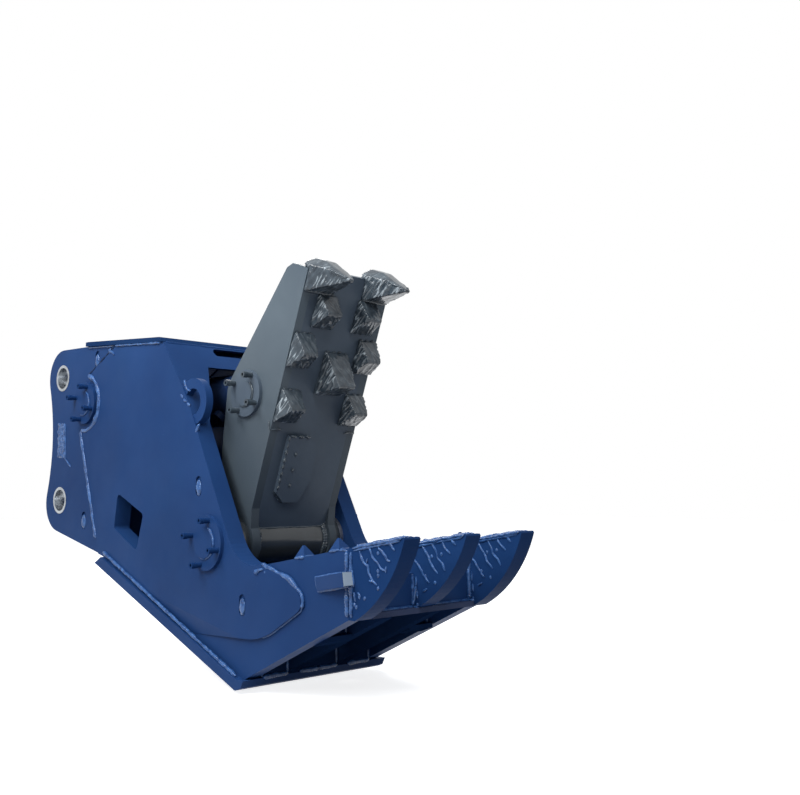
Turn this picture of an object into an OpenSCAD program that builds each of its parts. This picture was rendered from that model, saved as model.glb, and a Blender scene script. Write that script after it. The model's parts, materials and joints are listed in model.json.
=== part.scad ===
// Hydraulic concrete pulverizer for the arm of a 20 tonne excavator, in millimetres.
// X runs forward from the mounting ears to the teeth, Y across, Z up.
// The origin is the centre of the upper mounting bore, on the middle plane.
// The jaw stands fully open, with the cylinder drawn in.

/* [Frame plates] */
// Width over the two cheek plates
body_w = 560; // [520:5:620]
// Thickness of each side plate
side_t = 50; // [40:1:55]
// Thickness of the cheek plate welded onto each side plate
cheek_t = 10; // [7:1:14]
// Thickness of each ear plate
ear_t = 60; // [50:1:66]
// How far an ear plate stands back from the cheek face
ear_inset = 6; // [2:1:8]
// Thickness of the top cover
cover_t = 16; // [10:1:22]
// Height of the top cover over the ear plates at its rear end
cover_z = 104; // [98:1:108]
// Slope of the top cover, falling to the front, in degrees
cover_slope = 3.5; // [2:0.5:5]
// How far the top cover stands over the cheek plates
cover_lip = 6; // [3:1:12]
// Thickness of the bottom plate
bottom_t = 30; // [20:1:36]
// How far the bottom plate stands out from the cheek plates
bottom_lip = 12; // [8:1:20]
// Thickness of the upright cross plates and walls inside the frame
wall_t = 20; // [14:1:28]
// Thickness of the front cross panel
panel_t = 30; // [20:1:36]
// Thickness of the two lower ribs
rib_t = 40; // [30:1:46]
// Distance of each lower rib from the middle plane
rib_y = 100; // [90:1:110]
// Thickness of the floor plate behind the lower teeth
floor_t = 15; // [12:1:20]

/* [Frame outline] */
// Front end of the top cover, from the upper mounting bore
top_x = 706; // [680:2:730]
// Lower front corner of the frame: distance forward
foot_x = 1160; // [1140:2:1180]
// Lower front corner of the frame: depth below the upper bore
foot_drop = 982; // [960:2:1000]
// Lower front end of the ears, where the bottom plate starts
toe_x = 340; // [330:2:350]
// Angle of the open front edge of the side plates, in degrees
edge_angle = 62; // [59:0.5:64]
// Distance of that edge in front of the jaw pivot
edge_margin = 105; // [96:1:115]
// Radius of the throat where the edge turns into the lower jaw
throat_r = 140; // [110:2:170]
// Rise of the lower jaw towards its tips, in degrees
jaw_rise = 10; // [9:0.25:11]
// Forward reach of the lower teeth
tip_x = 1830; // [1790:2:1850]
// Depth of the lower tooth tips below the upper bore
tip_drop = 537; // [525:1:545]
// Length of the lower teeth in front of their weld seam
tooth_len = 210; // [190:2:230]
// Thickness of the lower teeth
tooth_t = 60; // [50:1:64]
// Radius of the bow-shaped front edge of the lower teeth
bow_r = 370; // [300:5:480]
// Depth of the floor plate below the upper bore
floor_drop = 750; // [735:1:765]

/* [Mounting ears] */
// Diameter of the two mounting pins
pin_d = 80; // [70:1:84]
// Outer diameter of the bushes in the ears
bush_d = 100; // [96:1:110]
// Distance between the two mounting bores
pin_spacing = 465; // [440:5:480]
// Radius of the ears round the bores
ear_r = 108; // [98:1:112]
// How far the rear edge is cut in between the bores
ear_waist = 36; // [20:1:45]

/* [Jaw pivot] */
// Pivot of the moving jaw: distance forward
pivot_x = 980; // [970:1:990]
// Pivot of the moving jaw: depth below the upper bore
pivot_drop = 585; // [575:1:595]
// Diameter of the pivot pin
pivot_pin_d = 110; // [96:1:116]
// Outer diameter of the jaw hub
hub_d = 184; // [176:2:192]
// Wall of the bushes in the jaw hub
hub_bush_t = 8; // [6:1:10]
// Thickness of the thrust rings at the ends of the hub
thrust_t = 14; // [8:1:20]
// Gap left beside each thrust ring
side_gap = 0.5; // [0.3:0.1:1]

/* [Pin covers] */
// Radius of the pivot pin covers
pivot_cover_r = 86; // [82:1:92]
// Radius of the rear cylinder pin covers
rear_cover_r = 77; // [74:1:82]
// Radius of the jaw cylinder pin covers
jaw_cover_r = 75; // [73:1:80]
// Thickness of the covers
pin_cover_t = 12; // [8:1:16]
// Radius of the cap screw heads
screw_r = 10; // [8:0.5:11]
// How far the cap screws stand out of the covers
screw_stand = 36; // [24:1:40]

/* [Moving jaw] */
// Width over the side plates of the jaw
jaw_w = 350; // [330:2:370]
// Thickness of those side plates
jaw_side_t = 30; // [24:1:36]
// Thickness of the front plate of the jaw
jaw_front_t = 40; // [28:1:46]
// Thickness of the back plate of the jaw
jaw_back_t = 20; // [14:1:26]
// Lean of the jaw's face when the jaw is fully open, in degrees
jaw_tilt = 20; // [18:0.5:22]
// Height of the jaw's face above the pivot
jaw_len = 900; // [880:2:920]
// Distance of the jaw's face in front of the pivot
face_off = 44; // [38:1:50]
// Height of the cylinder pin above the pivot, along the jaw's face
jaw_pin_up = 461; // [450:1:470]
// Distance of the cylinder pin behind the pivot, square to that face
jaw_pin_back = 107; // [100:1:112]
// Height of a crushing tooth over the jaw's face
spike_rise = 59; // [50:1:70]
// Width of a crushing tooth
spike_w = 84; // [76:1:92]
// Height of the big centre tooth over the jaw's face
centre_rise = 88; // [70:1:92]
// Reach of the two claws over the jaw's face
claw_rise = 141; // [120:1:150]
// Width of a claw
claw_w = 112; // [90:1:116]
// Thickness of the pad low on the jaw's face
pad_t = 15; // [8:1:16]

/* [Cylinder] */
// Rear cylinder pin: distance forward
rear_pin_x = 185; // [180:1:190]
// Rear cylinder pin: depth below the upper bore
rear_pin_drop = 106; // [102:1:112]
// Diameter of the two cylinder pins
cyl_pin_d = 90; // [80:1:92]
// Outer diameter of the barrel
barrel_d = 180; // [164:1:186]
// Wall of the barrel
barrel_wall = 20; // [14:1:26]
// Diameter of the rod
rod_d = 95; // [80:1:100]
// Width of both cylinder eyes
eye_w = 90; // [76:1:100]
// Radius of both cylinder eyes
eye_r = 80; // [76:1:84]
// Travel of the rod
stroke = 392; // [380:1:400]

/* [Hidden] */

blue = "#2b4c86";
grey = "#5c6670";
steel = "#c3c5c7";
round_fn = 96;
cut = 1;              // how far cutting tools run past a face
fit = 0.05;           // radial clearance of a turning fit
seat = 0.3;           // gap between faces that slide past each other

// Faces across the frame, outwards from the middle plane
cheek_y = body_w / 2;
side_y = cheek_y - cheek_t;
in_y = side_y - side_t;
ear_y = cheek_y - ear_inset;
ear_in_y = ear_y - ear_t;
tooth_in_y = side_y - tooth_t;

// Round centres in the side view
link_pin = [0, -pin_spacing];
pivot = [pivot_x, -pivot_drop];
rear_pin = [rear_pin_x, -rear_pin_drop];
notch_r = 105;

// Cylinder line from the rear pin to the jaw pin
jaw_pin = pivot + [-jaw_pin_back * cos(jaw_tilt) + jaw_pin_up * sin(jaw_tilt),
  jaw_pin_back * sin(jaw_tilt) + jaw_pin_up * cos(jaw_tilt)];
cyl_len = norm(jaw_pin - rear_pin);
cyl_angle = atan2(jaw_pin.y - rear_pin.y, jaw_pin.x - rear_pin.x);
cap_x = 108;                        // rear face of the barrel tube, from the rear pin
gland_end = cyl_len - eye_r - 40;   // front face of the gland
gland_len = 42;
barrel_end = gland_end - gland_len;
piston_len = 60;

// Points where two straight edges of the outline meet
function dir(a) = [cos(a), sin(a)];
function cross2(u, v) = u.x * v.y - u.y * v.x;
function meet(p, a, q, b) = p + dir(a) * (cross2(q - p, dir(b)) / cross2(dir(a), dir(b)));
function on_line(p, a, x) = [x, p.y + (x - p.x) * tan(a)];

cover_x = 190;                      // rear end of the top cover
cover_start = [cover_x, cover_z];
seam_x = tip_x - tooth_len;
tip = [tip_x, -tip_drop];
foot = [foot_x, -foot_drop];
edge_point = pivot + edge_margin * dir(90 - edge_angle);
top_corner = on_line(cover_start, -cover_slope, top_x);
edge_bend = meet([0, -133], 0, edge_point, -edge_angle);
throat = meet(edge_point, -edge_angle, tip, jaw_rise);
seam_top = on_line(tip, jaw_rise, seam_x);
seam_low = [seam_x, -floor_drop - floor_t];
front_slope = atan2(seam_low.y - foot.y, seam_low.x - foot.x);
toe_slope = 12;                     // lower edge of the ears
toe_start = link_pin - (ear_r + 10) * dir(90 - toe_slope);
toe = on_line(toe_start, -toe_slope, toe_x);
bottom_slope = atan2(toe.y - foot.y, foot.x - toe.x);
seam_foot = toe + [-32, 32 * tan(toe_slope)];
seam_head = on_line(cover_start, -cover_slope, 396);
seam_neck = rear_pin + [15, 98];
seam_waist = rear_pin + [-34, -80];

// Arc that rounds the corner b between a and c with radius r
function unit(v) = v / norm(v);
function turn(d) = (d + 540) % 360 - 180;
function arc_at(a, b, c, r, n = 10) =
  let (u = unit(a - b), v = unit(c - b), half = acos(u * v) / 2,
    m = b + unit(u + v) * (r / sin(half)),
    s = b + u * (r / tan(half)) - m, e = b + v * (r / tan(half)) - m,
    a0 = atan2(s.y, s.x), sweep = turn(atan2(e.y, e.x) - a0))
  [for (i = [0 : n]) m + r * dir(a0 + sweep * i / n)];

// Outline of corners [x, z, radius], each rounded by its own radius
function arc_of(c, r, a0, a1, n = 12, skip = 0) =
  [for (i = [skip : n]) c + r * dir(a0 + (a1 - a0) * i / n)];
function xz_of(p) = [p[0], p[1]];
function rounded(p) = let (n = len(p)) [for (i = [0 : n - 1])
  each p[i][2] > 0 ? arc_at(xz_of(p[(i + n - 1) % n]), xz_of(p[i]), xz_of(p[(i + 1) % n]), p[i][2])
  : [xz_of(p[i])]];
function corner(p, r = 0) = [p.x, p.y, r];

// Plate between y0 and y1 with its outline in the side view
module side_view(y0, y1) {
  translate([0, y1, 0]) rotate([90, 0, 0]) linear_extrude(y1 - y0) children();
}
// Round bar across the frame
module bar(c, r, y0, y1) {
  translate([c.x, y0, c.y]) rotate([-90, 0, 0]) cylinder(r = r, h = y1 - y0, $fn = round_fn);
}
// Ring across the frame
module ring(c, ro, ri, y0, y1) {
  difference() {
    bar(c, ro, y0, y1);
    bar(c, ri, y0 - cut, y1 + cut);
  }
}
module disc_at(c, r) {
  translate(c) circle(r = r, $fn = round_fn);
}
// The pieces are drawn on the side at -Y, and side = 1 mirrors them
module on_side(side) {
  if (side == 1) mirror([0, 1, 0]) children();
  else children();
}
module both_sides() {
  for (side = [0, 1]) on_side(side) children();
}
module in_jaw() {
  translate([pivot.x, 0, pivot.y]) rotate([0, jaw_tilt, 0]) children();
}
module in_cylinder() {
  translate([rear_pin.x, 0, rear_pin.y]) rotate([0, -cyl_angle, 0]) children();
}
module along_x(x0, x1, r) {
  translate([x0, 0, 0]) rotate([0, 90, 0]) cylinder(r = r, h = x1 - x0, $fn = round_fn);
}

// Side plate of the frame, from the ear seam to the tooth seam
module body_outline() {
  difference() {
    polygon(rounded([corner(seam_head), corner(top_corner, 12), corner(edge_bend, 900),
      corner(throat, throat_r), corner(seam_top), corner(seam_low),
      corner(on_line(foot, front_slope, foot.x + 7)),
      corner(on_line(foot, 180 - bottom_slope, foot.x - 7)),
      corner(toe), corner(seam_foot), corner(seam_waist), corner(seam_neck)]));
    disc_at(rear_pin, notch_r);
  }
}
window = [[434, -435], [602, -505], [563, -629], [413, -558]];
module window_cut() {
  polygon(rounded([for (p = window) corner(p, 14)]));
}
// Blind plug slots in the outer plates, upright, for the welds that tie them to the plates inside
plug_r = 15;
plug_half = 17;
plug_depth = 6;
ear_plugs = [[258, 50], [186, -536]];
cheek_plugs = [[926, -410], [1162, -762]];
module plug_cuts(spots, face) {
  for (p = spots) {
    for (s = [-1, 1]) bar(p + [0, s * plug_half], plug_r, -face - cut, -face + plug_depth);
    translate([p.x - plug_r, -face - cut, p.y - plug_half])
      cube([2 * plug_r, plug_depth + cut, 2 * plug_half]);
  }
}
module side_plate(side) {
  color(blue) on_side(side) difference() {
    side_view(-side_y, -in_y) difference() {
      body_outline();
      window_cut();
    }
    bar(pivot, pivot_pin_d / 2, -side_y - cut, -in_y + cut);
  }
}

// Cheek plate with the round nose over the lower jaw, faded out behind the nose
nose_top = throat + [236, -14];
nose_end = throat + [322, -78];
nose_low = throat + [116, -197];
fade_start = [880, foot.y + (foot.x - 880) * tan(bottom_slope)];
fade_heading = 169;
fade_run = 62;
module cheek_outline() {
  difference() {
    polygon(rounded([corner(seam_head), corner(top_corner, 12), corner(edge_bend, 900),
      corner(throat, throat_r), corner(throat + [110, 110 * tan(jaw_rise)]),
      corner(nose_top, 90), corner(nose_end, 34), corner(nose_low, 260), corner(fade_start),
      corner(toe), corner(seam_foot), corner(seam_waist), corner(seam_neck)]));
    disc_at(rear_pin, notch_r);
    window_cut();
  }
}
module cheek_plate(side) {
  reach = 1200;
  color(blue) on_side(side) difference() {
    translate([0, -side_y, 0]) rotate([90, 0, 0]) difference() {
      linear_extrude(cheek_t) cheek_outline();
      translate([fade_start.x, fade_start.y, 0]) rotate([0, 0, fade_heading])
        rotate([-atan(cheek_t / fade_run), 0, 0])
        translate([-reach, -reach, 0]) cube([2 * reach, 2 * reach, reach]);
    }
    bar(pivot, pivot_pin_d / 2, -cheek_y - cut, -side_y + cut);
    plug_cuts(cheek_plugs, cheek_y);
  }
}

// Ear plate with the two mounting bores and the rear cylinder pin bore
ear_in = ear_r - ear_waist;
waist_r = (pow(ear_in, 2) + pow(pin_spacing / 2, 2) - pow(ear_r, 2)) / (2 * ear_waist);
waist_c = [-ear_in - waist_r, -pin_spacing / 2];
waist_a = atan2(-waist_c.y, -waist_c.x);
waist_end = link_pin + ear_r * dir(180 - waist_a);
module ear_outline() {
  polygon(concat(arc_of([0, 0], ear_r, 90, 180 + waist_a),
    arc_of(waist_c, waist_r, waist_a, -waist_a, 12, 1),
    arc_at(waist_end, meet(waist_end, 90 - waist_a, toe, -toe_slope), toe, ear_r),
    [seam_foot, seam_waist, rear_pin, seam_neck, seam_head, cover_start]));
}
module ear_plate(side) {
  color(blue) on_side(side) difference() {
    union() {
      side_view(-ear_y, -ear_in_y) ear_outline();
      bar(rear_pin, notch_r, -ear_y, -ear_in_y);
    }
    for (c = [[0, 0], link_pin]) bar(c, bush_d / 2, -ear_y - cut, -ear_in_y + cut);
    bar(rear_pin, cyl_pin_d / 2, -ear_y - cut, -ear_in_y + cut);
    plug_cuts(ear_plugs, ear_y);
  }
}
// Steel bushes pressed into the ears, one pair for each mounting pin
bush_proud = 2;
module ear_bushes(c) {
  color(steel) both_sides()
    ring(c, bush_d / 2, pin_d / 2, -ear_y - bush_proud, -ear_in_y + bush_proud);
}

// Cover over the top of the frame
module top_cover() {
  wide = cheek_y + cover_lip;
  color(blue) translate([cover_start.x, -wide, cover_start.y]) rotate([0, cover_slope, 0])
    difference() {
      cube([(top_x - cover_x) / cos(cover_slope), 2 * wide, cover_t]);
      translate([-cut, -cut, cover_t]) rotate([0, 30, 0]) cube([10, 2 * wide + 2 * cut, 10]);
      translate([(top_x - cover_x) / cos(cover_slope), -cut, 1]) rotate([0, -48, 0])
        cube([60, 2 * wide + 2 * cut, 60]);
    }
}

// Cross panel between the upper front edges, with a slot and an arch for the cylinder
slot_z = 52;
slot_len = 150;
slot_h = 26;
arch_z = -8;
arch_half = 140;
arch_low = -205;
module panel_strip() {
  difference() {
    polygon(rounded([corner(top_corner - [panel_t + 30, -(panel_t + 30) * tan(cover_slope)]),
      corner(top_corner, 12), corner(edge_bend, 900),
      corner(on_line(edge_point, -edge_angle, edge_bend.x + 38)),
      corner(on_line(edge_point, -edge_angle, edge_bend.x + 38) - [panel_t, 8])]));
    translate([-panel_t / sin(edge_angle), 0])
      polygon([top_corner + [0, -6], edge_bend, edge_bend + [100, -100 * tan(edge_angle)],
        edge_bend - [600, 600], [0, -6], top_corner + [-100, -6]]);
  }
}
module front_panel() {
  deep = 500;
  color(blue) difference() {
    side_view(-in_y, in_y) panel_strip();
    translate([top_x - deep, 0, 0]) rotate([90, 0, 90]) linear_extrude(2 * deep) {
      polygon([[-arch_half, arch_z], [arch_half, arch_z], [in_y + cut, arch_low],
        [in_y + cut, arch_low - deep], [-in_y - cut, arch_low - deep], [-in_y - cut, arch_low]]);
      translate([-slot_len / 2, slot_z - slot_h / 2]) square([slot_len, slot_h]);
      for (s = [-1, 1]) translate([s * slot_len / 2, slot_z])
        circle(d = slot_h, $fn = round_fn);
    }
  }
}

// Bottom plate under the frame, with a short level nose at the foot
module bottom_plate() {
  rear = on_line(foot, 180 - bottom_slope, toe.x + 6);
  down = bottom_t * dir(-90 - bottom_slope);
  wide = cheek_y + bottom_lip;
  rear_low = rear + down + [-30, 6];
  color(blue) translate([0, 0, -0.2]) side_view(-wide, wide)
    polygon(rounded([corner(rear), corner(foot - [6, -6 * tan(bottom_slope)]), corner(foot + [26, 3]),
      corner(foot + [14, -20], 8), corner(foot + [-12, -30], 20), corner(rear_low)]));
}
// Plate that closes the frame behind, below the cylinder
module rear_plate() {
  head = seam_waist + [60, -60];
  low = on_line(foot, 180 - bottom_slope, toe.x + 44);
  color(blue) side_view(-in_y, in_y) polygon([head, head + [wall_t, 0],
    on_line(foot, 180 - bottom_slope, low.x + wall_t), low]);
}

// Ribs below the floor plate, flush with the lower edge of the side plates
floor_low = -floor_drop - floor_t;
foot_wall_x = foot.x + 4;
nose_plate_z = foot.y + 3.1;
module rib(side) {
  color(blue) on_side(side) side_view(-rib_y - rib_t / 2, -rib_y + rib_t / 2)
    polygon([[foot_wall_x, floor_low], [seam_x - 30, floor_low],
      on_line(foot, front_slope, seam_x - 30) - [0, 1], on_line(foot, front_slope, foot.x + 34),
      [foot.x + 22, nose_plate_z], [foot_wall_x, nose_plate_z]]);
}
// Low walls that close the three bays at the foot
foot_wall_h = 84;
module foot_walls() {
  inner = rib_y - rib_t / 2;
  outer = rib_y + rib_t / 2;
  color(blue) for (span = [[-in_y, -outer], [-inner, inner], [outer, in_y]])
    translate([foot_wall_x, span[0], nose_plate_z])
      cube([wall_t, span[1] - span[0], foot_wall_h]);
}
// Angle-shaped shelves across the two outer bays
shelf_x = 1424;
shelf_t = 14;
module bay_shelves() {
  outer = rib_y + rib_t / 2;
  edge = on_line(foot, front_slope, shelf_x);
  color(blue) both_sides() side_view(-in_y, -outer)
    polygon([[shelf_x, floor_low], edge, edge + [0, -4], edge + [46, 12], edge + [46, 12 + shelf_t],
      [shelf_x + wall_t, edge.y + 12 + shelf_t], [shelf_x + wall_t, floor_low]]);
}
// Floor plate between the side plates, carrying the three lower teeth in front
floor_x = 1204;
module floor_plate() {
  lip = 28;
  color(blue) union() {
    translate([floor_x, -in_y, floor_low]) cube([seam_x - floor_x, 2 * in_y, floor_t]);
    translate([seam_x - cut, -tooth_in_y + seat, floor_low])
      cube([lip + cut, 2 * (tooth_in_y - seat), floor_t]);
  }
}
// Walls that close the gaps between the lower teeth at the back
tooth_wall_h = 96;
module tooth_walls() {
  color(blue) both_sides() translate([seam_x - wall_t, -tooth_in_y, -floor_drop])
    cube([wall_t + 6, tooth_in_y - tooth_t / 2, tooth_wall_h]);
}
// Upright plate behind the centre tooth
module middle_plate() {
  color(blue) side_view(-tooth_t / 2, tooth_t / 2)
    polygon([[seam_x, -floor_drop], seam_top, seam_top - [30, 6], seam_top - [84, 66],
      throat + [70, -16], [floor_x + wall_t + 0.2, throat.y - 62],
      [floor_x + wall_t + 0.2, -floor_drop]]);
}
// Cross plate behind the floor, rising to the throat
throat_in = throat_r / 2;
module throat_plate() {
  head = throat + [48, -2];
  color(blue) side_view(-in_y, in_y)
    polygon([head + [-34, -6], head + [20, 3], head + [20, -16], [floor_x + wall_t, head.y - 60],
      [floor_x + wall_t, -floor_drop], [floor_x, -floor_drop], [floor_x, floor_low],
      [floor_x - wall_t, floor_low], [floor_x - wall_t, head.y - 60]]);
}
// Two small pyramid teeth on each upper rim of the lower jaw, behind the seam
rim_tooth_back = [207, 59];
rim_tooth_h = 34;
rim_tooth_y = side_y - 20;
module rim_teeth() {
  color(blue) both_sides() for (back = rim_tooth_back) let (p = on_line(tip, jaw_rise, seam_x - back))
    translate([p.x, -rim_tooth_y, p.y]) rotate([0, -jaw_rise, 0]) hull() {
      translate([-21, -19, 0.2]) cube([42, 38, 4]);
      translate([-1, -3, rim_tooth_h - 2]) cube([6, 5, 2]);
    }
}

// Lower teeth: thick plates with a bow-shaped front edge
module tooth_outline(low) {
  heel = [seam_x + 24, low];
  half = norm(tip - heel) / 2;
  away = atan2(tip.y - heel.y, tip.x - heel.x) + 90;
  middle = (tip + heel) / 2 + sqrt(pow(bow_r, 2) - pow(half, 2)) * dir(away);
  span = asin(half / bow_r);
  polygon(concat([seam_top, tip - 6 * dir(jaw_rise)],
    arc_of(middle, bow_r, away + 179 + span, away + 180 - span, 14), [[seam_x, low]]));
}
module lower_tooth(y0, y1, low) {
  color(blue) side_view(y0, y1) tooth_outline(low);
}
// Wedge-shaped wear blocks on the outside of the lower jaw
wear_len = 148;
wear_h = 38;
wear_out = 38;
module wear_blocks() {
  start = on_line(tip, jaw_rise, seam_x - 124) - [0, 102];
  color(blue) both_sides() translate([start.x, -side_y, start.y]) rotate([0, -jaw_rise, 0])
    linear_extrude(wear_h) polygon([[0, 0], [0, -6], [wear_len, -wear_out], [wear_len, 0]]);
}
// Lifting eye welded on the front edge beside the cylinder
eye_ring_r = 76;
eye_hole_r = 43;
module lifting_eye() {
  centre = edge_bend + [21, -6];
  color(blue) side_view(-cheek_y + 4, -cheek_y + 30) difference() {
    disc_at(centre, eye_ring_r);
    disc_at(centre, eye_hole_r);
    body_outline();
  }
}

// Pins, covers and cap screws
cap_h = 6;
module pin_cover(c, r, y, bolt_r, angle, hub_r) {
  color(blue) difference() {
    union() {
      bar(c, r, y - pin_cover_t, y);
      bar(c, hub_r, y - pin_cover_t - cap_h, y - pin_cover_t + cut);
    }
    for (a = [angle : 90 : angle + 270])
      bar(c + bolt_r * dir(a), screw_r * 0.6, y - pin_cover_t - cut, y + cut);
  }
}
// Cap screws with a sleeve under the head and a hexagon socket
module cap_screws(c, y, bolt_r, angle) {
  head = 16;
  color(blue) for (a = [angle : 90 : angle + 270]) difference() {
    union() {
      bar(c + bolt_r * dir(a), screw_r * 0.85, y - pin_cover_t - screw_stand + head, y - pin_cover_t);
      bar(c + bolt_r * dir(a), screw_r, y - pin_cover_t - screw_stand,
        y - pin_cover_t - screw_stand + head);
      bar(c + bolt_r * dir(a), screw_r * 0.6, y - pin_cover_t - cut, y);
    }
    translate([c.x + bolt_r * cos(a), y - pin_cover_t - screw_stand - cut, c.y + bolt_r * sin(a)])
      rotate([-90, 0, 0]) cylinder(r = screw_r * 0.55, h = 9, $fn = 6);
  }
}
pivot_bolt_r = pivot_cover_r - 14;
rear_bolt_r = rear_cover_r - 14;
jaw_bolt_r = jaw_cover_r - 11;
pivot_bolt_angle = 74;
rear_bolt_angle = 69;
jaw_bolt_angle = 58;
module pivot_pin() {
  color(steel) bar(pivot, pivot_pin_d / 2, -cheek_y, cheek_y);
}
module rear_pin_bar() {
  color(steel) bar(rear_pin, cyl_pin_d / 2, -ear_y, ear_y);
}
module rear_pin_bosses() {
  color(blue) both_sides()
    ring(rear_pin, cyl_pin_d / 2 + 28, cyl_pin_d / 2, -ear_in_y, -eye_w / 2 - 2);
}

// Moving jaw: plates drawn with the pivot at the origin and the face upright
hub_half = in_y - thrust_t - side_gap;
jaw_side_y = jaw_w / 2;
jaw_in_y = jaw_side_y - jaw_side_t;
jaw_pin_local = [-jaw_pin_back, jaw_pin_up];
hub_r = hub_d / 2;
jaw_rear_top = [face_off - 100, jaw_len - 18];
jaw_rear_mid = [-jaw_pin_back - 112, jaw_pin_up - 5];
jaw_rear_low = [-jaw_pin_back - 66, jaw_pin_up - 214];
tube_r = hub_r - 17;
module jaw_side_outline() {
  polygon(rounded([corner([face_off, jaw_len]), corner([face_off, 128]),
    corner([hub_r - 14, 12]), corner([14 - hub_r, 12]), corner(jaw_rear_low, 200),
    corner(jaw_rear_mid, 70), corner(jaw_rear_top, 10), corner([face_off - 76, jaw_len])]));
}
module jaw_side(side) {
  color(grey) on_side(side) in_jaw() difference() {
    union() {
      side_view(-jaw_side_y, -jaw_in_y) jaw_side_outline();
      bar([0, 0], hub_r, -jaw_side_y, -jaw_in_y);
    }
    bar([0, 0], tube_r, -jaw_side_y - cut, -jaw_in_y + cut);
    bar(jaw_pin_local, cyl_pin_d / 2, -jaw_side_y - cut, -jaw_in_y + cut);
  }
}
// Front plate from the top edge down onto the hub tube
module jaw_front_plate() {
  color(grey) in_jaw() difference() {
    side_view(-jaw_in_y, jaw_in_y)
      polygon([[face_off, jaw_len], [face_off, 56], [face_off - jaw_front_t, 56],
        [face_off - jaw_front_t, jaw_len]]);
    bar([0, 0], tube_r + seat, -jaw_side_y, jaw_side_y);
  }
}
// Back plate from the top down to just above the cylinder eye
module jaw_back_plate() {
  run = unit(jaw_rear_mid - jaw_rear_top);
  side = [-run.y, run.x];
  start = jaw_rear_top + run * 14 + side * 6;
  stop = jaw_rear_mid - run * 150 + side * 6;
  color(grey) in_jaw() side_view(-jaw_in_y, jaw_in_y)
    polygon([start, stop, stop + side * jaw_back_t, start + side * jaw_back_t]);
}
module jaw_hub() {
  color(grey) in_jaw() ring([0, 0], tube_r, pivot_pin_d / 2 + hub_bush_t, -hub_half, hub_half);
}
module hub_bushes() {
  color(steel) both_sides() ring(pivot, pivot_pin_d / 2 + hub_bush_t, pivot_pin_d / 2 + fit,
    -hub_half, -hub_half + 120);
}
module thrust_rings() {
  color(steel) both_sides() ring(pivot, tube_r, pivot_pin_d / 2, -in_y, -in_y + thrust_t);
}

// Crushing tooth on the jaw's face: centre across, lower edge, size, and height of its crest
module spike(y, z, w, h, rise, crest) {
  translate([face_off, y, z]) hull() {
    rotate([90, 0, 90]) linear_extrude(8)
      polygon([[-w / 2, 0], [w / 2, 0], [w * 0.43, h], [-w * 0.43, h]]);
    translate([rise - 2, -w * 0.33, h * crest - 4]) cube([2, w * 0.66, 8]);
  }
}
// Claw over the top edge of the jaw, hooked down to a point
module claw(y) {
  color(grey) in_jaw() translate([face_off, y, jaw_len]) difference() {
    hull() {
      translate([0, -claw_w / 2, -69]) cube([4, claw_w, 81]);
      translate([-26, -claw_w * 0.45, 0]) cube([30, claw_w * 0.9, 14]);
      translate([-20, -claw_w * 0.19, 0]) cube([50, claw_w * 0.38, 34]);
      translate([claw_rise * 0.55, -claw_w * 0.25, -9]) cube([4, claw_w * 0.5, 24]);
      translate([claw_rise - 5, -9, -6]) cube([5, 18, 9]);
    }
    translate([-100, -claw_w, -100]) cube([100, 2 * claw_w, 100]);
  }
}
claw_y = jaw_side_y - claw_w / 2 - 1;
second_row = [-76, 92];
row_k = jaw_len / 900;
second_row_z = 723 * row_k;
third_row_z = 592 * row_k;
centre_z = 513 * row_k;
fourth_row_z = 415 * row_k;
pad_z = 152;
pad_h = fourth_row_z - pad_z - 42;
module jaw_teeth_second_row() {
  color(grey) in_jaw() for (y = second_row) spike(y, second_row_z, spike_w, 106 * row_k, spike_rise, 0.54);
}
module jaw_teeth_third_row() {
  y = jaw_side_y - spike_w / 2;
  color(grey) in_jaw() for (s = [-1, 1]) spike(s * y, third_row_z, spike_w, 110 * row_k, spike_rise, 0.5);
}
module jaw_tooth_centre() {
  color(grey) in_jaw() spike(14, centre_z, spike_w + 24, 140 * row_k, centre_rise, 0.36);
}
module jaw_teeth_fourth_row() {
  y = jaw_side_y - spike_w / 2;
  color(grey) in_jaw() for (s = [-1, 1]) spike(s * y, fourth_row_z, spike_w, 106 * row_k, spike_rise, 0.52);
}
module jaw_pad() {
  color(grey) in_jaw() translate([face_off, -108, pad_z]) rotate([90, 0, 90])
    linear_extrude(pad_t) polygon([[3, 34], [38, 0], [100, 0], [132, 77], [129, pad_h - 26],
      [86, pad_h], [5, pad_h]]);
}
jaw_stub_end = eye_w / 2 + 3;
module jaw_pin_bosses() {
  color(grey) in_jaw() both_sides()
    ring(jaw_pin_local, cyl_pin_d / 2 + 24, cyl_pin_d / 2, -jaw_in_y, -jaw_stub_end);
}
module jaw_stub_pins() {
  color(steel) in_jaw() both_sides()
    bar(jaw_pin_local, cyl_pin_d / 2, -jaw_side_y, -jaw_stub_end);
}
module jaw_cover(side) {
  color(grey) on_side(side) in_jaw()
    pin_cover(jaw_pin_local, jaw_cover_r, -jaw_side_y, jaw_bolt_r, jaw_bolt_angle + jaw_tilt, 40);
}

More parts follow.
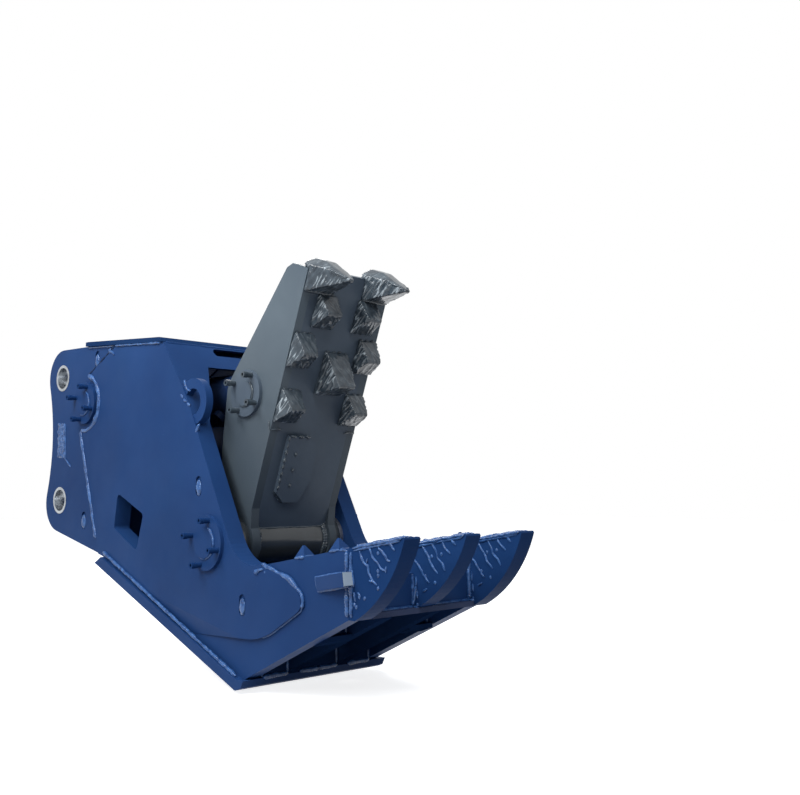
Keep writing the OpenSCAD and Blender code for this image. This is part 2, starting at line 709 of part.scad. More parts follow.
// Cylinder, drawn with the rear pin at the origin and the rod along X
bore_r = barrel_d / 2 - barrel_wall;
module barrel() {
  color(blue) in_cylinder() difference() {
    union() {
      bar([0, 0], eye_r, -eye_w / 2, eye_w / 2);
      translate([0, -eye_w / 2, -eye_r * 0.85]) cube([cap_x - 20, eye_w, 1.7 * eye_r]);
      along_x(cap_x - 26, barrel_end, barrel_d / 2);
      translate([cap_x + 12, 0, 0]) cylinder(r = 24, h = barrel_d / 2 + 22, $fn = round_fn);
      rotate([130, 0, 0]) translate([barrel_end - 130, 0, 0])
        cylinder(r = 24, h = barrel_d / 2 + 22, $fn = round_fn);
    }
    along_x(cap_x, barrel_end + cut, bore_r);
    bar([0, 0], cyl_pin_d / 2 + 8, -eye_w, eye_w);
    translate([cap_x + 12, 0, 0]) cylinder(r = 10, h = barrel_d, $fn = round_fn);
    rotate([130, 0, 0]) translate([barrel_end - 130, 0, 0])
      cylinder(r = 10, h = barrel_d, $fn = round_fn);
  }
}
module barrel_bush() {
  color(steel) in_cylinder()
    ring([0, 0], cyl_pin_d / 2 + 8, cyl_pin_d / 2 + fit, -eye_w / 2, eye_w / 2);
}
module gland() {
  color(steel) in_cylinder() difference() {
    union() {
      along_x(barrel_end, gland_end, barrel_d / 2);
      along_x(barrel_end - 40, barrel_end + cut, bore_r);
    }
    along_x(barrel_end - 50, gland_end + cut, rod_d / 2 + fit);
  }
}
piston_x = cap_x + 8;
module piston() {
  color(steel) in_cylinder() along_x(piston_x, piston_x + piston_len, bore_r - fit);
}
module rod() {
  color(steel) in_cylinder() difference() {
    union() {
      along_x(piston_x + piston_len, cyl_len - eye_r * 0.7, rod_d / 2);
      bar([cyl_len, 0], eye_r, -eye_w / 2, eye_w / 2);
    }
    bar([cyl_len, 0], cyl_pin_d / 2 + 8, -eye_w, eye_w);
  }
}
module rod_eye_bush() {
  color(steel) in_cylinder()
    ring([cyl_len, 0], cyl_pin_d / 2 + 8, cyl_pin_d / 2, -eye_w / 2, eye_w / 2);
}

side_plate(0);  // side_plate_right
side_plate(1);  // side_plate_left
cheek_plate(0);  // cheek_plate_right
cheek_plate(1);  // cheek_plate_left
ear_plate(0);  // ear_plate_right
ear_plate(1);  // ear_plate_left
ear_bushes([0, 0]);  // arm_pin_bushes
ear_bushes(link_pin);  // link_pin_bushes
top_cover();
front_panel();
bottom_plate();
rear_plate();
rib(0);  // rib_right
rib(1);  // rib_left
foot_walls();
bay_shelves();
floor_plate();
tooth_walls();
middle_plate();
throat_plate();
rim_teeth();
lower_tooth(-side_y, -tooth_in_y, floor_low);  // lower_tooth_right
lower_tooth(-tooth_t / 2, tooth_t / 2, -floor_drop);  // lower_tooth_centre
lower_tooth(tooth_in_y, side_y, floor_low);  // lower_tooth_left
wear_blocks();
lifting_eye();
pivot_pin();
pin_cover(pivot, pivot_cover_r, -cheek_y, pivot_bolt_r, pivot_bolt_angle, 48);  // pivot_cover_right
on_side(1)  // pivot_cover_left
  pin_cover(pivot, pivot_cover_r, -cheek_y, pivot_bolt_r, pivot_bolt_angle, 48);
both_sides()  // pivot_screws
  cap_screws(pivot, -cheek_y, pivot_bolt_r, pivot_bolt_angle);
thrust_rings();
rear_pin_bar();  // rear_pin
rear_pin_bosses();
pin_cover(rear_pin, rear_cover_r, -ear_y, rear_bolt_r, rear_bolt_angle, 42);  // rear_pin_cover_right
on_side(1)  // rear_pin_cover_left
  pin_cover(rear_pin, rear_cover_r, -ear_y, rear_bolt_r, rear_bolt_angle, 42);
both_sides()  // rear_pin_screws
  cap_screws(rear_pin, -ear_y, rear_bolt_r, rear_bolt_angle);
jaw_side(0);  // jaw_side_right
jaw_side(1);  // jaw_side_left
jaw_front_plate();
jaw_back_plate();
jaw_hub();
hub_bushes();
claw(-claw_y);  // claw_right
claw(claw_y);  // claw_left
jaw_teeth_second_row();
jaw_teeth_third_row();
jaw_tooth_centre();
jaw_teeth_fourth_row();
jaw_pad();
jaw_pin_bosses();
jaw_stub_pins();
jaw_cover(0);  // jaw_pin_cover_right
jaw_cover(1);  // jaw_pin_cover_left
both_sides() in_jaw()  // jaw_pin_screws
  cap_screws(jaw_pin_local, -jaw_side_y, jaw_bolt_r, jaw_bolt_angle + jaw_tilt);
barrel();
barrel_bush();
gland();
piston();
rod();
rod_eye_bush();
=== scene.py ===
import bpy
import bmesh
import json
import math
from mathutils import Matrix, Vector, noise


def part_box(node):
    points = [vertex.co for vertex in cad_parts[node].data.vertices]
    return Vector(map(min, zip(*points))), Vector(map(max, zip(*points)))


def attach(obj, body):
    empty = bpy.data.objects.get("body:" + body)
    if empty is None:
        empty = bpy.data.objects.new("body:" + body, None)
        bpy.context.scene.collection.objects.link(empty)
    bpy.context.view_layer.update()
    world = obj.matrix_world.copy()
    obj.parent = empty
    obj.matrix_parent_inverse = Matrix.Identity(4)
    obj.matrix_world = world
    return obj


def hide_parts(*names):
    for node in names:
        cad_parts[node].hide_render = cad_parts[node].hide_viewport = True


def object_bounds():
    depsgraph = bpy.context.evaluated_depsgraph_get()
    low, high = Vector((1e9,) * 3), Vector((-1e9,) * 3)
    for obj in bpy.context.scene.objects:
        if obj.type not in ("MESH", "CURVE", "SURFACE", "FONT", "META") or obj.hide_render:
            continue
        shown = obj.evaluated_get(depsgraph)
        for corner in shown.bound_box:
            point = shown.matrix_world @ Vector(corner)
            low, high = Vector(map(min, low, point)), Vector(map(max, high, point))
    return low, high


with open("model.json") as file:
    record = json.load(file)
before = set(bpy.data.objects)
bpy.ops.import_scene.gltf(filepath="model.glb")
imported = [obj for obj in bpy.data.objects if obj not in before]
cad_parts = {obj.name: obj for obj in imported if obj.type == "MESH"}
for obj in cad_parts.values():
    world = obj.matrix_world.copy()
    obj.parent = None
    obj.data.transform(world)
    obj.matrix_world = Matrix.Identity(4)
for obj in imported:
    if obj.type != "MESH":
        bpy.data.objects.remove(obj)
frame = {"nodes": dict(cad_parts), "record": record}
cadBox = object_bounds()
nodes = frame["nodes"]
noise.seed_set(5)  # so that the welds come out the same on every run
print("frame loaded")

# Places in the side view in mm, (x, z) from the upper mounting bore, and faces across in mm
plan = {"cheek": 280, "side": 270, "inner": 220, "ear": 274, "earInner": 214, "toothInner": 210,
        "toothHalf": 30, "rearPin": (185, -106), "pivot": (980, -585), "tilt": 20, "face": 44,
        "jawSide": 175, "seamX": 1620, "tip": (1830, -537), "rise": 10, "ribY": 100, "ribHalf": 20}


# Millimetres of the side view and across, made a point in metres
def sidePoint(x, z, y):
    return Vector((x / 1000.0, y / 1000.0, z / 1000.0))


# The jaw leans by its tilt: n runs out of its face, y across and s up the face, in mm from the pivot
def jawPoint(n, y, s):
    t = math.radians(plan["tilt"])
    x = plan["pivot"][0] + n * math.cos(t) + s * math.sin(t)
    z = plan["pivot"][1] - n * math.sin(t) + s * math.cos(t)
    return sidePoint(x, z, y)


# The other way round: n, y and s of a point in metres
def jawLocal(point):
    t = math.radians(plan["tilt"])
    dx, dz = point.x * 1000 - plan["pivot"][0], point.z * 1000 - plan["pivot"][1]
    return dx * math.cos(t) - dz * math.sin(t), point.y * 1000, dx * math.sin(t) + dz * math.cos(t)


# Height of the lower jaw's sloping rim at x
def rimAt(x, drop=0):
    return plan["tip"][1] + (x - plan["tip"][0]) * math.tan(math.radians(plan["rise"])) - drop


def socketOf(shader, *names):
    for name in names:
        if name in shader.inputs:
            return shader.inputs[name]
    return None


def smoothByAngle(obj, angle=35):
    for face in obj.data.polygons:
        face.use_smooth = True
    obj.data.set_sharp_from_angle(angle=math.radians(angle))


def addPiece(name, mesh, material, body, angle=35):
    obj = bpy.data.objects.new(name, mesh)
    bpy.context.scene.collection.objects.link(obj)
    mesh.materials.clear()
    mesh.materials.append(material)
    smoothByAngle(obj, angle)
    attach(obj, body)
    return obj


def meshFrom(bm, name):
    bmesh.ops.recalc_face_normals(bm, faces=bm.faces)
    mesh = bpy.data.meshes.new(name)
    bm.to_mesh(mesh)
    bm.free()
    return mesh


def newMaterial(name):
    material = bpy.data.materials.new(name)
    material.use_nodes = True
    tree = material.node_tree
    tree.nodes.clear()
    output = tree.nodes.new("ShaderNodeOutputMaterial")
    shader = tree.nodes.new("ShaderNodeBsdfPrincipled")
    tree.links.new(shader.outputs[0], output.inputs[0])
    coords = tree.nodes.new("ShaderNodeTexCoord")
    return material, tree, shader, coords


def noiseNode(tree, coords, scale, detail=3, rough=0.55, stretch=None):
    texture = tree.nodes.new("ShaderNodeTexNoise")
    texture.inputs["Scale"].default_value = scale
    texture.inputs["Detail"].default_value = detail
    texture.inputs["Roughness"].default_value = rough
    if stretch:
        mapping = tree.nodes.new("ShaderNodeMapping")
        mapping.inputs["Scale"].default_value = stretch
        tree.links.new(coords.outputs["Object"], mapping.inputs["Vector"])
        tree.links.new(mapping.outputs["Vector"], texture.inputs["Vector"])
    else:
        tree.links.new(coords.outputs["Object"], texture.inputs["Vector"])
    return texture


def rampNode(tree, source, stops):
    ramp = tree.nodes.new("ShaderNodeValToRGB")
    tree.links.new(source, ramp.inputs["Fac"])
    elements = ramp.color_ramp.elements
    while len(elements) < len(stops):
        elements.new(0.5)
    for element, (place, value) in zip(elements, stops):
        element.position = place
        element.color = value if len(value) == 4 else (*value, 1)
    return ramp


def mixNode(tree, factor, first, second):
    mix = tree.nodes.new("ShaderNodeMix")
    mix.data_type = "RGBA"
    sockets = [s for s in mix.inputs if s.type == "RGBA"]
    tree.links.new(factor, mix.inputs[0])
    for value, socket in ((first, sockets[0]), (second, sockets[1])):
        if isinstance(value, tuple):
            socket.default_value = (*value, 1)
        else:
            tree.links.new(value, socket)
    return [s for s in mix.outputs if s.type == "RGBA"][0]


def bumpNode(tree, height, strength, distance, before=None):
    bump = tree.nodes.new("ShaderNodeBump")
    bump.inputs["Strength"].default_value = strength
    bump.inputs["Distance"].default_value = distance
    tree.links.new(height, bump.inputs["Height"])
    if before:
        tree.links.new(before.outputs["Normal"], bump.inputs["Normal"])
    return bump


def rangeNode(tree, source, low, high):
    node = tree.nodes.new("ShaderNodeMapRange")
    tree.links.new(source, node.inputs["Value"])
    node.inputs["From Min"].default_value = 0.3
    node.inputs["From Max"].default_value = 0.7
    node.inputs["To Min"].default_value = low
    node.inputs["To Max"].default_value = high
    return node.outputs["Result"]


def grey(value):
    return (value, value, value)


# Noise scales that all the paints share
paintGrain = {"dust": 3.2, "dustStretch": (1.0, 1.0, 0.45), "speck": 130, "gloss": 7, "wave": 9}


# Sprayed paint: a cloudy base, dust in patches, specks, painted shade darker towards the bottom, a painted
# highlight along weld strokes and orange peel
def paintMaterial(name, look):
    material, tree, shader, coords = newMaterial(name)
    cloud = noiseNode(tree, coords, look["cloudScale"], 4)
    base = rampNode(tree, cloud.outputs["Fac"], [(0.3, look["dark"]), (0.7, look["light"])])
    dust = noiseNode(tree, coords, paintGrain["dust"], 8, 0.62, paintGrain["dustStretch"])
    dustStops = [(0.50, grey(0)), (0.78, grey(look["dustAmount"]))]
    dustMask = rampNode(tree, dust.outputs["Fac"], dustStops)
    dusty = mixNode(tree, dustMask.outputs["Color"], base.outputs["Color"], look["dust"])
    specks = noiseNode(tree, coords, paintGrain["speck"], 2)
    speckStops = [(0.70, grey(0)), (0.78, grey(look["speckAmount"]))]
    speckMask = rampNode(tree, specks.outputs["Fac"], speckStops)
    final = mixNode(tree, speckMask.outputs["Color"], dusty, look["speck"])
    # Painted shade: the colour darkens towards the bottom, by height
    if "paintedShade" in look:
        parts = tree.nodes.new("ShaderNodeSeparateXYZ")
        tree.links.new(coords.outputs["Object"], parts.inputs[0])
        depth = tree.nodes.new("ShaderNodeMapRange")
        tree.links.new(parts.outputs["Z"], depth.inputs["Value"])
        for key, value in zip(("From Min", "From Max", "To Min", "To Max"), look["paintedShadeRange"]):
            depth.inputs[key].default_value = value
        final = mixNode(tree, depth.outputs["Result"], final, look["paintedShade"])
    # Painted highlight: a pale colour where the mesh's stroke attribute is high
    if "highlightColour" in look:
        highlightNode = tree.nodes.new("ShaderNodeAttribute")
        highlightNode.attribute_name = "stroke"
        final = mixNode(tree, highlightNode.outputs["Fac"], final, look["highlightColour"])
    tree.links.new(final, shader.inputs["Base Color"])
    gloss = noiseNode(tree, coords, paintGrain["gloss"], 5)
    tree.links.new(rangeNode(tree, gloss.outputs["Fac"], look["roughLow"], look["roughHigh"]),
                   shader.inputs["Roughness"])
    socketOf(shader, "Specular IOR Level", "Specular").default_value = look["specular"]
    coat = socketOf(shader, "Coat Weight", "Clearcoat")
    coat.default_value = look["coat"]
    socketOf(shader, "Coat Roughness", "Clearcoat Roughness").default_value = look["coatRough"]
    peel = noiseNode(tree, coords, look["peelScale"], 2)
    waves = noiseNode(tree, coords, paintGrain["wave"], 3)
    first = bumpNode(tree, waves.outputs["Fac"], 0.35, 0.0012)
    second = bumpNode(tree, peel.outputs["Fac"], look["peel"], 0.0006, first)
    tree.links.new(second.outputs["Normal"], shader.inputs["Normal"])
    return material


framePaintLook = {"dark": (0.012, 0.040, 0.132), "light": (0.018, 0.057, 0.178),
                  "dust": (0.025, 0.08, 0.20), "dustAmount": 0.2, "speck": (0.08, 0.14, 0.26),
                  "speckAmount": 0.15, "cloudScale": 2.4, "roughLow": 0.38, "roughHigh": 0.52,
                  "coat": 0.0, "coatRough": 0.2, "peel": 0.2, "peelScale": 160, "specular": 0.05}
# Weld paint: the light colour in small spots along the beads is painted highlight
weldPaintWithHighlightsLook = dict(framePaintLook, dark=(0.006, 0.040, 0.150), light=(0.060, 0.160, 0.400),
                     roughLow=0.24, roughHigh=0.36, coat=0.4, coatRough=0.07, specular=0.12,
                     dustAmount=0.1, peel=0.15, cloudScale=62)
toothPaintLook = dict(framePaintLook, dark=(0.009, 0.034, 0.116), light=(0.014, 0.048, 0.155),
                      roughLow=0.34, roughHigh=0.46, specular=0.015, dustAmount=0.12, peel=0.35)
# Very dark paint for the barrel, also used as painted shadow in the upper ear seam's groove
darkPaintAndShadeLook = dict(framePaintLook, dark=(0.006, 0.014, 0.042), light=(0.010, 0.024, 0.068),
                     dustAmount=0.15)
# Floor plate: a lighter, greyer copy of the frame paint with more dust, the pale grey partly a painted
# reflection
floorPaintAndSheenLook = dict(framePaintLook, dark=(0.036, 0.050, 0.105), light=(0.055, 0.074, 0.145),
                      dustAmount=0.3)
# A darker, duller copy of the frame paint: painted shade on the ribs, shelves, foot walls and top cover
shadedFrameLook = dict(framePaintLook, dark=(0.010, 0.028, 0.085), light=(0.014, 0.040, 0.118),
                      roughLow=0.5, roughHigh=0.62, specular=0.0)
jawPaintLook = {"dark": (0.056, 0.077, 0.106), "light": (0.083, 0.111, 0.146),
                "dust": (0.13, 0.155, 0.175), "dustAmount": 0.30, "speck": (0.16, 0.18, 0.20),
                "speckAmount": 0.2, "cloudScale": 2.8, "roughLow": 0.36, "roughHigh": 0.50,
                "coat": 0.0, "coatRough": 0.2, "peel": 0.25, "peelScale": 150, "specular": 0.2}
# Jaw side plates: a lighter copy of the jaw paint as painted light, darkened towards the bottom as painted
# shade
jawSideLitLook = dict(jawPaintLook, dark=(0.070, 0.094, 0.118), light=(0.102, 0.132, 0.158),
                   paintedShade=(0.016, 0.022, 0.031), paintedShadeRange=(-0.56, 0.12, 0.58, 0.0))
# Jaw teeth and claws: the pale colour is a painted highlight on the crests of the weld strokes
jawToothLook = dict(jawPaintLook, dark=(0.020, 0.030, 0.042), light=(0.070, 0.092, 0.112),
                    highlightColour=(0.42, 0.48, 0.52), roughLow=0.26, roughHigh=0.36, coat=0.45,
                    coatRough=0.08, specular=0.15, peel=0.4, peelScale=240, cloudScale=34)
hubLook = dict(jawPaintLook, dark=(0.030, 0.037, 0.044), light=(0.050, 0.057, 0.062),
               roughLow=0.24, roughHigh=0.32, coat=0.45, coatRough=0.14, specular=0.3)
# Pale grey-blue: painted reflection, for the wear blocks' end faces
paleReflectionLook = dict(floorPaintAndSheenLook, dark=(0.42, 0.52, 0.62), light=(0.52, 0.62, 0.70),
                dust=(0.62, 0.70, 0.76), dustAmount=0.5, roughLow=0.22, roughHigh=0.38)
framePaint = paintMaterial("framePaint", framePaintLook)
weldPaintWithHighlights = paintMaterial("weldPaintWithHighlights", weldPaintWithHighlightsLook)
toothPaint = paintMaterial("toothPaint", toothPaintLook)
darkPaintAndShade = paintMaterial("darkPaintAndShade", darkPaintAndShadeLook)
shadedFramePaint = paintMaterial("shadedFramePaint", shadedFrameLook)
jawPaint = paintMaterial("jawPaint", jawPaintLook)
jawSideLitPaint = paintMaterial("jawSideLitPaint", jawSideLitLook)
hubPaint = paintMaterial("hubPaint", hubLook)
jawToothPaint = paintMaterial("jawToothPaint", jawToothLook)
floorPaintAndSheen = paintMaterial("floorPaintAndSheen", floorPaintAndSheenLook)
paleReflectionPaint = paintMaterial("paleReflectionPaint", paleReflectionLook)


turnLook = {"rings": 260, "wobble": 0.6, "stain": 24, "darker": 0.72, "spread": 0.15}


# Bare machined steel with turning marks round the axis of a hole
def turnedSteel(name, centre, colour, rough):
    material, tree, shader, coords = newMaterial(name)
    mapping = tree.nodes.new("ShaderNodeMapping")
    mapping.inputs["Location"].default_value = (-centre[0], 0, -centre[1])
    tree.links.new(coords.outputs["Object"], mapping.inputs["Vector"])
    wave = tree.nodes.new("ShaderNodeTexWave")
    wave.wave_type = "RINGS"
    wave.rings_direction = "Y"
    wave.inputs["Scale"].default_value = turnLook["rings"]
    wave.inputs["Distortion"].default_value = turnLook["wobble"]
    wave.inputs["Detail"].default_value = 2
    tree.links.new(mapping.outputs["Vector"], wave.inputs["Vector"])
    stain = noiseNode(tree, coords, turnLook["stain"], 5)
    darker = tuple(c * turnLook["darker"] for c in colour)
    base = rampNode(tree, stain.outputs["Fac"], [(0.35, darker), (0.62, colour)])
    tree.links.new(base.outputs["Color"], shader.inputs["Base Color"])
    shader.inputs["Metallic"].default_value = 1.0
    uneven = rangeNode(tree, stain.outputs["Fac"], rough, rough + turnLook["spread"])
    tree.links.new(uneven, shader.inputs["Roughness"])
    bump = bumpNode(tree, wave.outputs["Fac"], 0.25, 0.0003)
    tree.links.new(bump.outputs["Normal"], shader.inputs["Normal"])
    return material


chromeLook = {"film": 12, "filmStretch": (0.4, 2.0, 2.0), "dark": 0.62, "light": 0.78,
              "lines": 300, "lineStretch": (0.05, 1, 1), "roughLow": 0.06, "roughHigh": 0.16}


# Chrome with a thin oil film and fine lines drawn out along the rod
def rodChrome():
    material, tree, shader, coords = newMaterial("rodChrome")
    film = noiseNode(tree, coords, chromeLook["film"], 4, 0.6, chromeLook["filmStretch"])
    stops = [(0.3, grey(chromeLook["dark"])), (0.7, grey(chromeLook["light"]))]
    base = rampNode(tree, film.outputs["Fac"], stops)
    tree.links.new(base.outputs["Color"], shader.inputs["Base Color"])
    shader.inputs["Metallic"].default_value = 1.0
    uneven = rangeNode(tree, film.outputs["Fac"], chromeLook["roughLow"], chromeLook["roughHigh"])
    tree.links.new(uneven, shader.inputs["Roughness"])
    lines = noiseNode(tree, coords, chromeLook["lines"], 1, 0.5, chromeLook["lineStretch"])
    bump = bumpNode(tree, lines.outputs["Fac"], 0.05, 0.0002)
    tree.links.new(bump.outputs["Normal"], shader.inputs["Normal"])
    return material


# Middle of a node in the side view
def middleOf(node):
    low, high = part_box(node)
    return ((low[0] + high[0]) / 2, (low[2] + high[2]) / 2)


bushColour, pinColour = (0.50, 0.53, 0.56), (0.42, 0.43, 0.45)
armSteel = turnedSteel("armSteel", (0, 0), bushColour, 0.22)
linkSteel = turnedSteel("linkSteel", middleOf("link_pin_bushes"), bushColour, 0.22)
pivotSteel = turnedSteel("pivotSteel", middleOf("pivot_pin"), pinColour, 0.30)
pinSteel = turnedSteel("pinSteel", middleOf("rear_pin"), pinColour, 0.30)
eyeSteel = turnedSteel("eyeSteel", middleOf("rod_eye_bush"), pinColour, 0.30)
chrome = rodChrome()
finishes = {"arm_pin_bushes": armSteel, "link_pin_bushes": linkSteel, "pivot_pin": pivotSteel,
            "thrust_rings": pivotSteel, "hub_bushes": pivotSteel, "rear_pin": pinSteel,
            "barrel_bush": pinSteel, "piston": pinSteel, "gland": pinSteel, "rod_eye_bush": eyeSteel,
            "jaw_stub_pins": eyeSteel, "rod": chrome, "floor_plate": floorPaintAndSheen, "barrel": darkPaintAndShade,
            "jaw_hub": hubPaint, "rib_right": shadedFramePaint, "rib_left": shadedFramePaint, "bay_shelves": shadedFramePaint,
            "foot_walls": shadedFramePaint, "top_cover": shadedFramePaint,
            "jaw_side_right": jawSideLitPaint, "jaw_side_left": jawSideLitPaint}
bodyOfNode = {}
for bodyName, members in frame["record"]["behaviour"]["bodies"].items():
    for member in members:
        bodyOfNode[member] = bodyName
for nodeName, obj in nodes.items():
    if nodeName in finishes:
        finish = finishes[nodeName]
    elif nodeName.startswith(("claw", "jaw_teeth", "jaw_tooth", "jaw_pin_screws")):
        finish = jawToothPaint
    elif bodyOfNode[nodeName] == "jaw":
        finish = jawPaint
    elif nodeName.startswith("lower_tooth") or nodeName.endswith("screws"):
        finish = toothPaint
    else:
        finish = framePaint
    if not obj.material_slots:
        obj.data.materials.append(finish)
    for materialSlot in obj.material_slots:
        materialSlot.material = finish
print("finishes made")


# Rounded edges on plates, width in mm
def softEdges(names, width, segments=2):
    for name in names:
        obj = nodes[name]
        flat = obj.modifiers.new("flat", "DECIMATE")
        flat.decimate_type = "DISSOLVE"
        flat.angle_limit = math.radians(1.0)
        edge = obj.modifiers.new("edge", "BEVEL")
        edge.width = width / 1000
        edge.segments = segments
        edge.limit_method = "ANGLE"
        edge.angle_limit = math.radians(38)
        edge.harden_normals = False
        smoothAfter = obj.modifiers.new("weighted", "WEIGHTED_NORMAL")
        smoothAfter.keep_sharp = False


# The same line with points about a step apart
def resample(points, step):
    out = [points[0].copy()]
    for start, end in zip(points, points[1:]):
        count = max(1, int(round((end - start).length / step)))
        for i in range(1, count + 1):
            out.append(start.lerp(end, i / count))
    return out


# Closed rims of a node's flat face at y in mm, as loops of points, longest first
def rimLoops(node, y):
    mesh = nodes[node].data
    follow = {}
    for face in mesh.polygons:
        keys = [tuple(round(c, 5) for c in mesh.vertices[v].co) for v in face.vertices]
        if all(abs(key[1] - y / 1000) < 0.0003 for key in keys):
            for a, b in zip(keys, keys[1:] + keys[:1]):
                if b in follow and a in follow[b]:
                    follow[b].remove(a)
                else:
                    follow.setdefault(a, []).append(b)
    loops = []
    for start in list(follow):
        if not follow[start]:
            continue
        loop, here = [start], follow[start].pop()
        while here != start and follow.get(here):
            loop.append(here)
            here = follow[here].pop()
        loops.append(resample([Vector(p) for p in loop + loop[:1]], 0.006)[:-1])
    loops.sort(key=lambda l: -sum((a - b).length for a, b in zip(l, l[1:])))
    return loops


# The part of a rim from start to end that passes by via, all (x, z) in mm, set at y and pushed outwards
def runAlong(loop, start, end, via, y, push=0):
    def nearest(place):
        spots = [(p.x * 1000 - place[0]) ** 2 + (p.z * 1000 - place[1]) ** 2 for p in loop]
        return spots.index(min(spots))
    a, b, v, n = nearest(start), nearest(end), nearest(via), len(loop)
    if (v - a) % n <= (b - a) % n:
        run = [loop[(a + i) % n] for i in range((b - a) % n + 1)]
    else:
        run = [loop[(a - i) % n] for i in range((a - b) % n + 1)]
    area = sum(p.x * q.z - q.x * p.z for p, q in zip(loop, loop[1:] + loop[:1]))
    out = []
    for i, point in enumerate(run):
        before, after = run[max(0, i - 1)], run[min(len(run) - 1, i + 1)]
        ahead = Vector((after.x - before.x, 0, after.z - before.z)).normalized()
        side = 1 if (area > 0) == ((v - a) % n <= (b - a) % n) else -1
        outwards = Vector((ahead.z, 0, -ahead.x)) * side
        out.append(Vector((point.x, y / 1000, point.z)) + outwards * push / 1000)
    return out


# Short dabs along a line with gaps between them, in mm
def dabs(points, dab, gap):
    pace = 2.0
    runs, run, walked = [], [], 0.0
    for point in resample(points, pace / 1000):
        if walked % (dab + gap) < dab:
            run.append(point)
        elif run:
            if len(run) > 1:
                runs.append(run)
            run = []
        walked += pace
    return runs + ([run] if len(run) > 1 else [])


# A bead is a round cord laid in a corner, with the ripples that a welder's hand leaves
def weldBead(name, runs, look, body="frame", material=None, slotName="frame_paint"):
    data = bpy.data.curves.new(name, "CURVE")
    data.dimensions = "3D"
    data.bevel_depth = look["radius"] / 1000
    data.bevel_resolution = 2
    data.use_fill_caps = True
    for runNumber, run in enumerate(runs):
        points = resample(run, look["step"] / 1000)
        spline = data.splines.new("POLY")
        spline.points.add(len(points) - 1)
        for i, point in enumerate(points):
            seed = Vector((point.x * 31, point.y * 31, point.z * 31 + runNumber))
            wander = Vector(noise.noise_vector(seed * 2.2)) * look["wander"] / 1000
            spline.points[i].co = (*(point + wander), 1)
            ripple = 1 + look["ripple"] * (0.5 - (i % look["pitch"]) / look["pitch"])
            swell = 1 + look["swell"] * noise.noise(seed)
            ends = min(1.0, 0.45 + 0.55 * min(i, len(points) - 1 - i) / 3)
            spline.points[i].radius = ripple * swell * ends
    curve = bpy.data.objects.new(name, data)
    bpy.context.scene.collection.objects.link(curve)
    bpy.context.view_layer.update()
    graph = bpy.context.evaluated_depsgraph_get()
    mesh = bpy.data.meshes.new_from_object(curve.evaluated_get(graph))
    mesh.name = name
    bpy.data.objects.remove(curve)
    bpy.data.curves.remove(data)
    return addPiece(name, mesh, material or weldPaintWithHighlights, body, 60)


# Runs of the near side and their mirror images on the far side
def bothSides(runs):
    return runs + [[Vector((p.x, -p.y, p.z)) for p in run] for run in runs]


# An arc in the side view, from start to end in degrees
def arcPoints(centre, radius, start, end, y, count):
    out = []
    for i in range(count + 1):
        angle = math.radians(start + (end - start) * i / count)
        x, z = centre[0] + radius * math.cos(angle), centre[1] + radius * math.sin(angle)
        out.append(sidePoint(x, z, y))
    return out


# A line of (x, z) points, all at y
def flatRun(points, y):
    return [sidePoint(x, z, y) for x, z in points]


def across(x, z, y1, y2):
    return [sidePoint(x, z, y1), sidePoint(x, z, y2)]


def jawRun(points):
    return [jawPoint(*p) for p in points]


# An arc in the jaw's own side view, a point every 6 degrees
def jawArc(centre, radius, start, count, y):
    turns = [math.radians(i * 6 + start) for i in range(count + 1)]
    return [jawPoint(centre[0] + radius * math.cos(a), y, centre[1] + radius * math.sin(a)) for a in turns]


seamLook = {"radius": 7.0, "step": 2.8, "pitch": 3, "ripple": 0.22, "swell": 0.3, "wander": 1.6}
thinLook = dict(seamLook, radius=5.0, wander=1.2)
lineLook = dict(seamLook, radius=3.2, step=2.4, wander=1.6, swell=0.5)
fatLook = dict(seamLook, radius=8.5, swell=0.5, wander=2.2)

# Beads of the frame's outside: the ear seam, the cheek's nose, the bottom plate and the cover
seam = {"head": (396, 91), "neck": (200, -8), "waist": (151, -186), "end": (271, -600),
        "upperVia": (300, 42), "notchVia": (290, -106), "lowerVia": (212, -389),
        "upperY": -276.5, "notchY": -277.2, "lowerY": -276.4, "notchPush": 3, "lowerPush": 3.5}
cheekRim = rimLoops("cheek_plate_right", -plan["cheek"])[0]
upperSeam = runAlong(cheekRim, seam["head"], seam["neck"], seam["upperVia"], seam["upperY"])
notchSeam = runAlong(cheekRim, seam["neck"], seam["waist"], seam["notchVia"], seam["notchY"],
                     seam["notchPush"])
lowerSeam = runAlong(cheekRim, seam["waist"], seam["end"], seam["lowerVia"], seam["lowerY"],
                     seam["lowerPush"])
# A dark bead in the upper ear seam: painted shadow of the groove
weldBead("earSeamGrooveShadow", bothSides([upperSeam]), dict(lineLook, radius=4.8), "frame", darkPaintAndShade)
weldBead("earSeamNotch", bothSides([notchSeam]), fatLook)
weldBead("earSeamLower", bothSides([lowerSeam]), dict(seamLook, radius=7.8))
nose = runAlong(cheekRim, (1425, -740), (1250, -845), (1340, -812), -272, 0.5)
weldBead("noseBead", bothSides([nose]), dict(thinLook, radius=2.8))
noseTop = runAlong(cheekRim, (1249, -640), (1428, -745), (1440, -735), -274, 3)
weldBead("noseBeadWide", bothSides([noseTop]), dict(seamLook, radius=6.0, swell=0.6))
noseStart = [flatRun([(1222, -664), (1240, -655), (1262, -648)], -281),
             flatRun([(1262, -664), (1284, -648)], -273)]
weldBead("noseStart", bothSides(noseStart), dict(fatLook, radius=5.0, swell=0.9))
footRun = flatRun([(348, -643), (1140, -971)], -283)
weldBead("footBead", bothSides([footRun]), dict(seamLook, radius=5.6))
coverRuns = [flatRun([(398, 88), (690, 70.5)], -282), flatRun([(194, 101), (392, 88.5)], -276)]
weldBead("coverBead", bothSides(coverRuns), dict(thinLook, radius=4))
weldBead("coverFront", [across(704, 70.5, -274, 274)], dict(thinLook, radius=4.5), "frame", framePaint)
print("outer beads laid")

